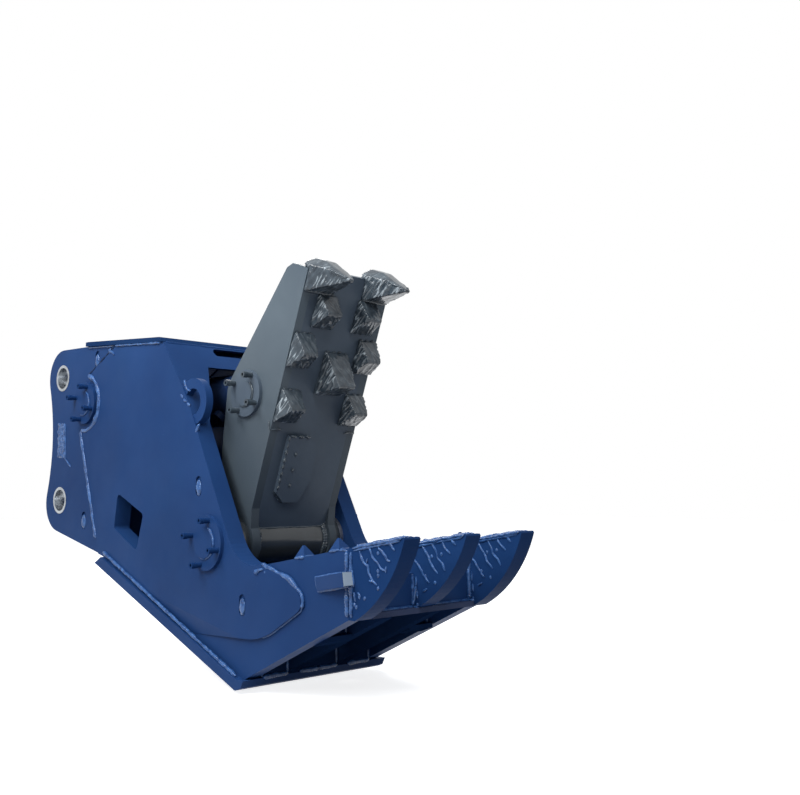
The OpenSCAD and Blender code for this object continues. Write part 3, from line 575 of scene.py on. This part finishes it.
# Beads of the lower jaw: tooth seams, foot walls, tooth bases and wear blocks
seamX = plan["seamX"]
seamRuns = []
for offset, drop in ((-7, 8), (9, 10)):
    top = (seamX + offset, rimAt(seamX) - drop)
    seamRuns.append(flatRun([top, (seamX + offset + 3, -756)], -271.5))
    seamRuns.append(flatRun([top, (seamX + offset, -745)], -213 + offset * 0.35))
weldBead("toothSeams", bothSides(seamRuns), dict(thinLook, radius=6.4, swell=0.6, ripple=0.4))
bay = {"front": seamX + 9, "back": seamX - 22, "floor": -748, "low": -745, "high": -657}
wallRuns = [across(bay["front"], bay["floor"], -206, -34),
            flatRun([(bay["front"], bay["low"]), (bay["front"], bay["high"])], -207),
            flatRun([(bay["front"], bay["low"]), (bay["front"], bay["high"])], -33),
            across(bay["back"], bay["floor"], -206, -34)]
weldBead("wallBeads", bothSides(wallRuns), thinLook)
baseRuns = [flatRun([(seamX + 12, -748.5), (seamX + 27, -748.5)], -32),
            flatRun([(seamX + 12, -748.5), (seamX + 30, -748.5)], -208),
            [sidePoint(seamX + 8, -748, -34), sidePoint(seamX + 22, -690, -33)]]
weldBead("toothBaseBeads", bothSides(baseRuns), thinLook)
wearRim = rimLoops("wear_blocks", -plan["side"])[0]
wearRuns = [[Vector((p.x, -0.2715, p.z)) for p in wearRim + wearRim[:1]]]
weldBead("wearBeads", bothSides(wearRuns), dict(thinLook, radius=4.2, swell=0.5))

# Pale sheet on the end face of each wear block: a painted reflection of the white surroundings
wearLook = {"inset": 2.5, "proud": 1.2, "facing": 0.9}
wearMesh = nodes["wear_blocks"].data
bm = bmesh.new()
for wearFace in wearMesh.polygons:
    if wearFace.normal.x > wearLook["facing"]:
        bm.faces.new([bm.verts.new(wearMesh.vertices[v].co) for v in wearFace.vertices])
bmesh.ops.remove_doubles(bm, verts=bm.verts, dist=0.0001)
bmesh.ops.dissolve_limit(bm, angle_limit=0.02, verts=bm.verts, edges=bm.edges)
outerFaces = list(bm.faces)
bmesh.ops.inset_individual(bm, faces=outerFaces, thickness=wearLook["inset"] / 1000)
pushed = bmesh.ops.extrude_face_region(bm, geom=outerFaces)
lifted = [v for v in pushed["geom"] if isinstance(v, bmesh.types.BMVert)]
lean = math.radians(plan["rise"])
away = Vector((math.cos(lean), 0, math.sin(lean)))
bmesh.ops.translate(bm, verts=lifted, vec=away * wearLook["proud"] / 1000)
addPiece("wearEndReflection", meshFrom(bm, "wearEndReflection"), paleReflectionPaint, "frame")

# Hard facing on the sides of the lower teeth: wavy tracks, strips along the edge and loose drops
outerFacing = {
    "tracks": [[(1662, -578), (1669, -592), (1679, -609), (1696, -617), (1699, -636), (1711, -651),
                (1728, -665)],
               [(1700, -569), (1708, -581), (1712, -594), (1730, -607), (1744, -621), (1761, -627)],
               [(1763, -614), (1762, -630)],
               [(1733, -564), (1737, -570), (1751, -579), (1761, -587), (1768, -597), (1778, -600)],
               [(1771, -556), (1781, -557), (1788, -566), (1795, -572)], [(1694, -598), (1690, -610)],
               [(1700, -655), (1716, -657)], [(1640, -690), (1647, -714)], [(1655, -688), (1668, -699)]],
    "drops": [(1643, -722), (1627, -744), (1682, -702), (1732, -582), (1732, -628), (1733, -640),
              (1733, -673), (1650, -728), (1662, -700)]}
innerFacing = {
    "tracks": [[(1664, -576), (1676, -590), (1689, -607), (1700, -628), (1722, -650)],
               [(1628, -612), (1640, -622), (1652, -632), (1668, -656), (1690, -678)],
               [(1702, -570), (1716, -588), (1722, -606), (1742, -622), (1750, -640)],
               [(1740, -562), (1752, -580), (1770, -594)], [(1776, -556), (1790, -570)],
               [(1640, -664), (1641, -690)], [(1644, -700), (1646, -722)], [(1664, -704), (1680, -694)]],
    "drops": [(1628, -742), (1644, -742), (1700, -604), (1736, -596), (1676, -660), (1712, -676)]}
edgeStrips = [([(1636, 2), (1700, 2), (1820, 2)], 1.5), ([(1640, 9), (1720, 8), (1812, 7)], 0.4)]


# Rough round lumps, their half sizes in mm
def lumps(places, wide, high, proud):
    bm = bmesh.new()
    for place in places:
        made = bmesh.ops.create_uvsphere(bm, u_segments=12, v_segments=8, radius=1)
        for v in made["verts"]:
            k = 1 + 0.22 * noise.noise(v.co * 1.7 + place * 50)
            v.co = place + Vector((v.co.x * wide, v.co.y * proud, v.co.z * high)) * k / 1000
    return bm


hardRuns, dropPlaces = [], []
for y, way, facing in ((-plan["side"], -1, outerFacing), (-plan["toothInner"], 1, innerFacing),
                       (-plan["toothHalf"], -1, innerFacing)):
    hardRuns += [flatRun(track, y + way * 0.8) for track in facing["tracks"]]
    dropPlaces += [sidePoint(*drop, y) for drop in facing["drops"]]
    for strip, proud in edgeStrips:
        hardRuns.append(flatRun([(x, rimAt(x, drop)) for x, drop in strip], y + way * proud))
weldBead("hardFacing", bothSides(hardRuns), lineLook)
farDrops = [Vector((p.x, -p.y, p.z)) for p in dropPlaces]
bm = lumps(dropPlaces + farDrops, 4.6, 5.5, 3.0)
addPiece("hardDrops", meshFrom(bm, "hardDrops"), weldPaintWithHighlights, "frame", 60)
topLine = [(x, rimAt(x) + 0.2) for x in (1640, 1730, 1812)]
topRuns = [flatRun(topLine, y) for y in (-260, -246, -234, -220, -20, -7)]
weldBead("hardFacingTops", bothSides(topRuns), dict(lineLook, radius=5.0, ripple=0.45))
print("hard facing laid")

# Weld that fills the slots in the ears and cheeks, with ripples across it
plugPlaces = [((926, -410), plan["cheek"]), ((1162, -762), plan["cheek"]),
              ((258, 50), plan["ear"]), ((186, -536), plan["ear"])]
plugLook = {"wide": 13.5, "high": 25, "proud": 6.5, "sink": 1.8, "drop": 5, "ridge": 0.16, "ridges": 8.5,
            "lean": 1.2, "uneven": 0.2, "most": 1.02}
bm = bmesh.new()
for (x, z), y in plugPlaces:
    for side in (-1, 1):
        made = bmesh.ops.create_uvsphere(bm, u_segments=32, v_segments=28, radius=1)
        centre = sidePoint(x, z - plugLook["drop"], side * (y - plugLook["sink"]))
        for v in made["verts"]:
            wave = abs(math.sin(v.co.z * plugLook["ridges"] + v.co.x * plugLook["lean"]))
            uneven = 0.92 + plugLook["uneven"] * noise.noise(v.co * 1.6 + centre * 9)
            k = (1 + plugLook["ridge"] * wave) * uneven
            spread = min(k, plugLook["most"])
            v.co = centre + Vector((v.co.x * plugLook["wide"] * spread, v.co.y * plugLook["proud"] * k,
                                    v.co.z * plugLook["high"] * spread)) / 1000
addPiece("plugWelds", meshFrom(bm, "plugWelds"), weldPaintWithHighlights, "frame", 60)

# Lumps at the ends of the ear seam, and the welds of the lifting eye and the rim teeth
knobRuns = [flatRun([(390, 56), (372, 66), (350, 79)], -280),
            flatRun([(266, -577), (273, -588), (282, -594)], -277.5),
            flatRun([(352, 66), (362, 82)], -279)]
weldBead("seamKnobs", bothSides(knobRuns), dict(fatLook, radius=6.0, swell=0.9, wander=3.0))
eyeRuns = [flatRun([(832, -66), (836, -84), (850, -98), (868, -104)], -276),
           flatRun([(903, -238), (913, -226), (922, -212)], -277)]
eyeRuns += dabs(flatRun([(815, -112), (842, -134), (868, -152)], -279), 20, 4)
weldBead("eyeBeads", eyeRuns, dict(fatLook, radius=4.4, swell=0.5, wander=1.6))
rimRuns = []
for x in (1413, 1561):
    rimRuns.append(flatRun([(x - 21, rimAt(x - 21, -1)), (x + 21, rimAt(x + 21, -1))], -269.5))
    for edge in (x + 22, x - 22):
        rimRuns.append(across(edge, rimAt(edge, -1), -268, -232))
rimRuns.append(flatRun([(1583, rimAt(1583, 1)), (1600, rimAt(1600, 3)), (1613, rimAt(1613, 6))], -269.5))
weldBead("rimTeethBeads", bothSides(rimRuns), dict(lineLook, radius=4.0, swell=0.7))

# Rough patch of weld on each ear
patchLook = {"low": (-35, -306), "high": (30, -172), "lean": 8, "cell": 2.2, "proud": 4.2, "fade": 7,
             "ragged": 1.6, "sink": 0.4}
wide, tall = patchLook["high"][0] - patchLook["low"][0], patchLook["high"][1] - patchLook["low"][1]
columns, rows = int(wide / patchLook["cell"]), int(tall / patchLook["cell"])


# How far the patch stands off the ear, at shares u along and v up
def patchRise(x, z, u, v):
    wavy = noise.noise(Vector((x * 0.03, z * 0.03, 3)))
    ragged = patchLook["ragged"] * noise.noise(Vector((x * 0.09, z * 0.09, 5))) + wavy
    edge = min(min(u, 1 - u) * wide, min(v, 1 - v) * tall) / patchLook["fade"] + ragged
    stroke = abs(math.sin(z * 0.42 + 1.1 * math.sin(x * 0.16) + wavy * 3))
    knobs = noise.noise(Vector((x * 0.16, z * 0.16, 1)))
    full = patchLook["proud"] * (0.45 + 0.45 * stroke + 0.7 * knobs)
    return max(0.0, min(1.0, edge)) * full - patchLook["sink"]


bm = bmesh.new()
for side in (-1, 1):
    made = bmesh.ops.create_grid(bm, x_segments=columns, y_segments=rows, size=0.5)
    for vertex in made["verts"]:
        u, v = vertex.co.x + 0.5, vertex.co.y + 0.5
        x = patchLook["low"][0] + wide * u + patchLook["lean"] * (1 - v)
        z = patchLook["low"][1] + tall * v
        vertex.co = sidePoint(x, z, side * (plan["ear"] + patchRise(x, z, u, v)))
addPiece("earPatch", meshFrom(bm, "earPatch"), weldPaintWithHighlights, "frame", 70)
tail = flatRun([(30, -306), (56, -322), (78, -342)], -plan["ear"] - 0.6)
weldBead("earPatchTail", bothSides([tail]), lineLook)

# Beads round the covers' caps and the bosses of the rear pin
capRuns = []
for centre, radius, y in ((plan["pivot"], 48, plan["cheek"] + 12), (plan["rearPin"], 42, plan["ear"] + 12)):
    capRuns.append(arcPoints(centre, radius + 1.5, -115, 70, -y - 1.5, 30))
capLook = dict(lineLook, radius=3.4, swell=0.6)
weldBead("capBeads", bothSides(capRuns), capLook)
jawCap = jawArc((-107, 461), 41.5, -110, 30, -plan["jawSide"] - 13.5)
weldBead("jawCapBeads", bothSides([jawCap]), capLook, "jaw", jawToothPaint, "jaw_teeth_paint")
bossRuns = [arcPoints(plan["rearPin"], 75, 0, 360, -plan["earInner"] + 2, 40)]
weldBead("bossBeads", bothSides(bossRuns), thinLook)
print("small welds laid")

# Beads under the frame: ribs, shelves and foot walls
ribIn, ribOut = plan["ribY"] - plan["ribHalf"], plan["ribY"] + plan["ribHalf"]
ribSides = (-ribIn + 2, -ribOut - 2, -plan["inner"] + 2)
ribRuns = [flatRun([(1190, -767), (1588, -767)], y) for y in ribSides]
ribRuns += [flatRun([(1182, -975), (1182, -898)], y) for y in ribSides]
weldBead("ribBeads", bothSides(ribRuns), thinLook)
shelfRuns = [flatRun([(1422, -768), (1422, -852)], y) for y in (-122, -218)]
shelfRuns += [flatRun([(1446, -768), (1446, -838)], y) for y in (-122, -218)]
weldBead("shelfBeads", bothSides(shelfRuns), thinLook)
footWallRuns = [across(1186, -976.5, -216, -124), across(1186, -976.5, -76, 0)]
weldBead("footWallBeads", bothSides(footWallRuns), seamLook)
print("under beads laid")


toothLook = {"voxel": 2.2, "round": 4, "ridge": 3.0, "front": 0.6, "lump": 1.6, "sink": 0.5, "top": 0.6,
             "paintedHighlight": 0.8, "topShare": 0.6, "topPaintedHighlight": 0.3, "seat": 5, "seatBelow": 898}
clawLook = dict(toothLook, voxel=2.6, round=6, ridge=2.8, lump=1.1, top=0.15)


# From 0 to 1 across a weld stroke, by stretched noise
def strokeAt(a, b, c):
    return max(0, 1 - 2.6 * abs(noise.noise(Vector((a, b, c))))) ** 1.3


def share(value):
    return min(1.0, max(0.0, value))


# Teeth and claws built up by weld: the solid's own shape, remeshed, with weld ridges over it and a painted
# highlight on their crests
def builtUp(node, name, look):
    temp = bpy.data.objects.new(name + "Temp", nodes[node].data.copy())
    bpy.context.scene.collection.objects.link(temp)
    remesh = temp.modifiers.new("even", "REMESH")
    remesh.mode = "VOXEL"
    remesh.voxel_size = look["voxel"] / 1000
    bpy.context.view_layer.update()
    mesh = bpy.data.meshes.new_from_object(temp.evaluated_get(bpy.context.evaluated_depsgraph_get()))
    bpy.data.objects.remove(temp)
    mesh.name = name
    bm = bmesh.new()
    bm.from_mesh(mesh)
    for turn in range(look["round"]):
        bmesh.ops.smooth_vert(bm, verts=bm.verts, factor=0.5, use_axis_x=True, use_axis_y=True,
                              use_axis_z=True)
    bm.normal_update()
    moves, highlightShares = [], []
    t = math.radians(plan["tilt"])
    for v in bm.verts:
        n, y, s = jawLocal(v.co)
        upwards = v.normal.x * math.sin(t) + v.normal.z * math.cos(t)
        along, over = s * 0.92 + n * 0.38, n * 0.92 - s * 0.38
        sideStroke = strokeAt(along * 0.019, over * 0.108, y * 0.015)
        broken = share(0.45 + 2.4 * noise.noise(Vector((along * 0.05, over * 0.03, y * 0.02 + 4))))
        along, over = s * 0.85 - y * 0.5, y * 0.85 + s * 0.5
        frontStroke = strokeAt(along * 0.018, over * 0.07, n * 0.012 + 7)
        onSide = share((abs(v.normal.y) - 0.35) / 0.3)
        rough = look["ridge"] * (sideStroke * onSide + frontStroke * look["front"] * (1 - onSide))
        rough += look["lump"] * (noise.noise(v.co * 45) + 0.25 * noise.noise(v.co * 120))
        # Painted highlight on the crests of the ridges, broken into dashes and weaker on top faces
        paintedHighlight = max(0, sideStroke - 0.58) / 0.3 * onSide + max(0, frontStroke - 0.7) / 0.4 * (1 - onSide)
        paintedHighlight = min(look["paintedHighlight"], paintedHighlight * broken)
        if upwards > look["topShare"]:
            rough *= look["top"]
            paintedHighlight *= look["topPaintedHighlight"]
        highlightShares.append(paintedHighlight)
        lift = share((n - plan["face"]) / look["seat"]) if s < look["seatBelow"] else 1.0
        moves.append(v.normal * (rough - look["sink"]) * lift / 1000)
    for v, move in zip(bm.verts, moves):
        v.co += move
    bm.to_mesh(mesh)
    bm.free()
    # The stroke attribute holds the painted highlight
    mesh.attributes.new("stroke", "FLOAT", "POINT").data.foreach_set("value", highlightShares)
    piece = addPiece(name, mesh, jawToothPaint, "jaw", 70)
    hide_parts(node)


builtUp("claw_right", "clawWeldRight", clawLook)
builtUp("claw_left", "clawWeldLeft", clawLook)
builtUp("jaw_teeth_second_row", "teethSecondRow", toothLook)
builtUp("jaw_teeth_third_row", "teethThirdRow", toothLook)
builtUp("jaw_tooth_centre", "toothCentre", toothLook)
builtUp("jaw_teeth_fourth_row", "teethFourthRow", toothLook)
print("jaw teeth built up")

# Beads of the jaw: round the teeth and claws, the pad, the hub and the plates
jawBead = {"body": "jaw", "material": jawToothPaint, "slotName": "jaw_teeth_paint"}
padRuns = [jawRun([(46, -106, 186), (46, -70, 150.5), (46, -8, 150.5), (46, 10, 190)])]
weldBead("padBead", padRuns, dict(thinLook, radius=4.6, swell=0.5), **jawBead)
padEdges = dabs(jawRun([(59, -103, 372), (59, -104, 190)]), 18, 5)
padEdges += dabs(jawRun([(60, -100, 374), (60, -20, 374)]), 24, 5)
weldBead("padColumn", padEdges, dict(seamLook, radius=4.6, swell=0.6, ripple=0.3), **jawBead)

# Jaw teeth: middle across, foot up the face, width and height, in mm
jawTeeth = [(-76, 723, 84, 106), (92, 723, 84, 106), (-133, 592, 84, 110), (133, 592, 84, 110),
            (14, 513, 108, 140), (-133, 415, 84, 106), (133, 415, 84, 106)]
edgeRuns = []
for middle, foot, width, height in jawTeeth:
    top, half = foot + height + 1, min(width * 0.40, plan["jawSide"] - abs(middle))
    edgeRuns += dabs(jawRun([(46, middle - half, top), (46, middle + half, top)]), 16, 9)
    edgeRuns += dabs(jawRun([(52, middle - half - 1, foot + 10),
                             (66, middle - half * 0.8, foot + height * 0.5),
                             (50, middle - half, top - 8)]), 9, 7)
weldBead("toothDabs", edgeRuns, dict(lineLook, radius=3.4, swell=0.6), **jawBead)
clawRuns = []
for side in (-1, 1):
    for ahead in (0, 13):
        clawRuns.append(jawRun([(17 + ahead, side * 167, 908), (24 + ahead, side * 139, 926),
                                (24 + ahead, side * 97, 926), (18 + ahead, side * 69, 908)]))
    for edge, bend in ((139, 146), (97, 90)):
        clawRuns.append(jawRun([(26, side * edge, 926), (73, side * edge, 927), (125, side * bend, 910),
                                (178, side * (bend * 0.3 + 83), 902)]))
    clawRuns.append(jawRun([(50, side * 172, 833), (50, side * 118, 832), (50, side * 64, 833)]))
weldBead("clawBeads", clawRuns, dict(thinLook, radius=5.0, swell=0.4, wander=1.6), **jawBead)
bm = lumps([jawPoint(59, y, s) for y, s in ((-64, 315), (-62, 262), (-60, 211))], 6, 7, 5)
addPiece("padDots", meshFrom(bm, "padDots"), jawToothPaint, "jaw", 60)
hubRings = []
for y in (-142, 142):
    for radius, shift in ((77.5, 0), (76, -7 if y > 0 else 7)):
        hubRings.append(jawArc((0, 0), radius, -118, 32, y + shift))
weldBead("hubBeads", hubRings, dict(seamLook, radius=5.5, swell=0.5, ripple=0.5), **jawBead)
plateRuns = [jawRun([(44, -142, 60), (44, 142, 60)])]
for side in (-1, 1):
    plateRuns.append(jawRun([(44.5, side * 172, 386), (44.5, side * 150, 392), (44.5, side * 132, 386)]))
for side in (-1, 1):
    plateRuns.append(jawRun([(30, side * 176, 412), (36, side * 176.5, 396), (43, side * 175, 386)]))
weldBead("jawPlateBeads", plateRuns, dict(lineLook, radius=3.4), **jawBead)
backRuns = [jawRun([(-57, y, 864), (-161, y, 596)]) for y in (-142, 142)]
backRuns.append(jawRun([(-55, -138, 867), (-55, 138, 867)]))
weldBead("jawBackBeads", backRuns, thinLook, **jawBead)
print("jaw beads laid")

softEdges(["side_plate_right", "side_plate_left", "top_cover", "bottom_plate", "floor_plate",
           "jaw_side_right", "jaw_side_left", "jaw_front_plate", "rib_right", "rib_left",
           "lifting_eye", "wear_blocks", "rim_teeth", "tooth_walls"], 1.8)
softEdges(["cheek_plate_right", "cheek_plate_left"], 3.6, 3)
softEdges(["lower_tooth_right", "lower_tooth_centre", "lower_tooth_left"], 2.2)
softEdges(["pivot_cover_right", "pivot_cover_left", "rear_pin_cover_right", "rear_pin_cover_left",
           "jaw_pin_cover_right", "jaw_pin_cover_left", "jaw_pad", "ear_plate_right", "ear_plate_left"], 1.6)
print("edges softened")


# 1 for rays from the camera, and for those that metal mirrors or glass lets through
def seenOrMirrored(tree):
    rays = tree.nodes.new("ShaderNodeLightPath")
    first = tree.nodes.new("ShaderNodeMath")
    second = tree.nodes.new("ShaderNodeMath")
    first.operation = second.operation = "MAXIMUM"
    tree.links.new(rays.outputs["Is Camera Ray"], first.inputs[0])
    tree.links.new(rays.outputs["Is Glossy Ray"], first.inputs[1])
    tree.links.new(first.outputs[0], second.inputs[0])
    tree.links.new(rays.outputs["Is Transmission Ray"], second.inputs[1])
    return second.outputs[0]


# A pale floor just under the part, darker for the light that it throws back on the part
def makeFloor():
    look = {"size": 14.0, "gap": 0.012, "middle": 0.9, "colour": (0.95, 0.95, 0.95), "rough": 0.9,
            "hidden": (0.36, 0.36, 0.38), "glow": 0.8}
    bm = bmesh.new()
    bmesh.ops.create_grid(bm, x_segments=4, y_segments=4, size=look["size"])
    bmesh.ops.translate(bm, verts=bm.verts, vec=(look["middle"], 0, cadBox[0][2] - look["gap"]))
    mesh = meshFrom(bm, "studioFloor")
    floor = bpy.data.objects.new("studioFloor", mesh)
    bpy.context.scene.collection.objects.link(floor)
    material, tree, shader, coords = newMaterial("studioFloor")
    shader.inputs["Base Color"].default_value = (*look["colour"], 1)
    shader.inputs["Roughness"].default_value = look["rough"]
    glow = tree.nodes.new("ShaderNodeEmission")
    glow.inputs["Strength"].default_value = look["glow"]
    pale = tree.nodes.new("ShaderNodeAddShader")
    tree.links.new(shader.outputs[0], pale.inputs[0])
    tree.links.new(glow.outputs[0], pale.inputs[1])
    dull = tree.nodes.new("ShaderNodeBsdfDiffuse")
    dull.inputs["Color"].default_value = (*look["hidden"], 1)
    mix = tree.nodes.new("ShaderNodeMixShader")
    tree.links.new(seenOrMirrored(tree), mix.inputs[0])
    tree.links.new(dull.outputs[0], mix.inputs[1])
    tree.links.new(pale.outputs[0], mix.inputs[2])
    output = [n for n in tree.nodes if n.type == "OUTPUT_MATERIAL"][0]
    tree.links.new(mix.outputs[0], output.inputs[0])
    mesh.materials.append(material)


makeFloor()


# A soft box at place that points at target, in metres and watts
def makeLight(name, place, target, size, power):
    data = bpy.data.lights.new(name, "AREA")
    data.shape = "RECTANGLE"
    data.size, data.size_y = size
    data.energy = power
    light = bpy.data.objects.new(name, data)
    light.location = place
    light.rotation_euler = (Vector(target) - Vector(place)).to_track_quat("-Z", "Y").to_euler()
    bpy.context.scene.collection.objects.link(light)


makeLight("keySoft", (1.9, -3.1, 2.0), (0.9, 0, -0.3), (1.6, 1.3), 72)
makeLight("nearSoft", (0.7, -1.5, 1.7), (0.95, -0.2, 0.4), (0.9, 0.7), 26)
makeLight("sparkLow", (1.55, -2.9, 0.45), (1.2, 0, 0.0), (0.3, 0.3), 10)
makeLight("sparkHigh", (0.6, -2.8, 2.1), (1.2, 0, 0.1), (0.5, 0.5), 18)
makeLight("topSoft", (1.2, -0.6, 2.6), (1.0, 0, -0.2), (1.6, 1.4), 6)
makeLight("frontSoft", (3.6, -1.2, 2.2), (1.2, 0, -0.3), (1.4, 1.2), 38)
makeLight("rearSoft", (-3.4, 2.6, 2.2), (0.6, 0, -0.3), (2.4, 2.0), 100)

# A weak bluish fill on the part, and plain white behind it
worldLook = {"fill": (0.82, 0.90, 1.0), "fillStrength": 0.30}
world = bpy.data.worlds.new("studio")
bpy.context.scene.world = world
world.use_nodes = True
worldTree = world.node_tree
worldTree.nodes.clear()
worldOut = worldTree.nodes.new("ShaderNodeOutputWorld")
ambient = worldTree.nodes.new("ShaderNodeBackground")
ambient.inputs["Color"].default_value = (*worldLook["fill"], 1)
ambient.inputs["Strength"].default_value = worldLook["fillStrength"]
white = worldTree.nodes.new("ShaderNodeBackground")
white.inputs["Color"].default_value = (1, 1, 1, 1)
white.inputs["Strength"].default_value = 1.0
shown = worldTree.nodes.new("ShaderNodeMixShader")
worldTree.links.new(seenOrMirrored(worldTree), shown.inputs[0])
worldTree.links.new(ambient.outputs[0], shown.inputs[1])
worldTree.links.new(white.outputs[0], shown.inputs[2])
worldTree.links.new(shown.outputs[0], worldOut.inputs[0])
bpy.context.scene.view_settings.view_transform = "Standard"

# The camera of the photograph: in front on the right, looking a little upwards
cameraLook = {"place": (3.661, -2.138, -0.401), "heading": 44.7, "rise": 4.8, "lens": 46.0}
cameraData = bpy.data.cameras.new("photoCamera")
cameraData.lens = cameraLook["lens"]
cameraData.sensor_width = 36
cameraData.sensor_fit = "HORIZONTAL"
cameraData.clip_end = 60
camera = bpy.data.objects.new("photoCamera", cameraData)
heading, rise = math.radians(cameraLook["heading"]), math.radians(cameraLook["rise"])
aim = Vector((-math.sin(heading) * math.cos(rise), math.cos(heading) * math.cos(rise), math.sin(rise)))
camera.location = cameraLook["place"]
camera.rotation_euler = aim.to_track_quat("-Z", "Y").to_euler()
bpy.context.scene.collection.objects.link(camera)
bpy.context.scene.camera = camera
print("stage set")
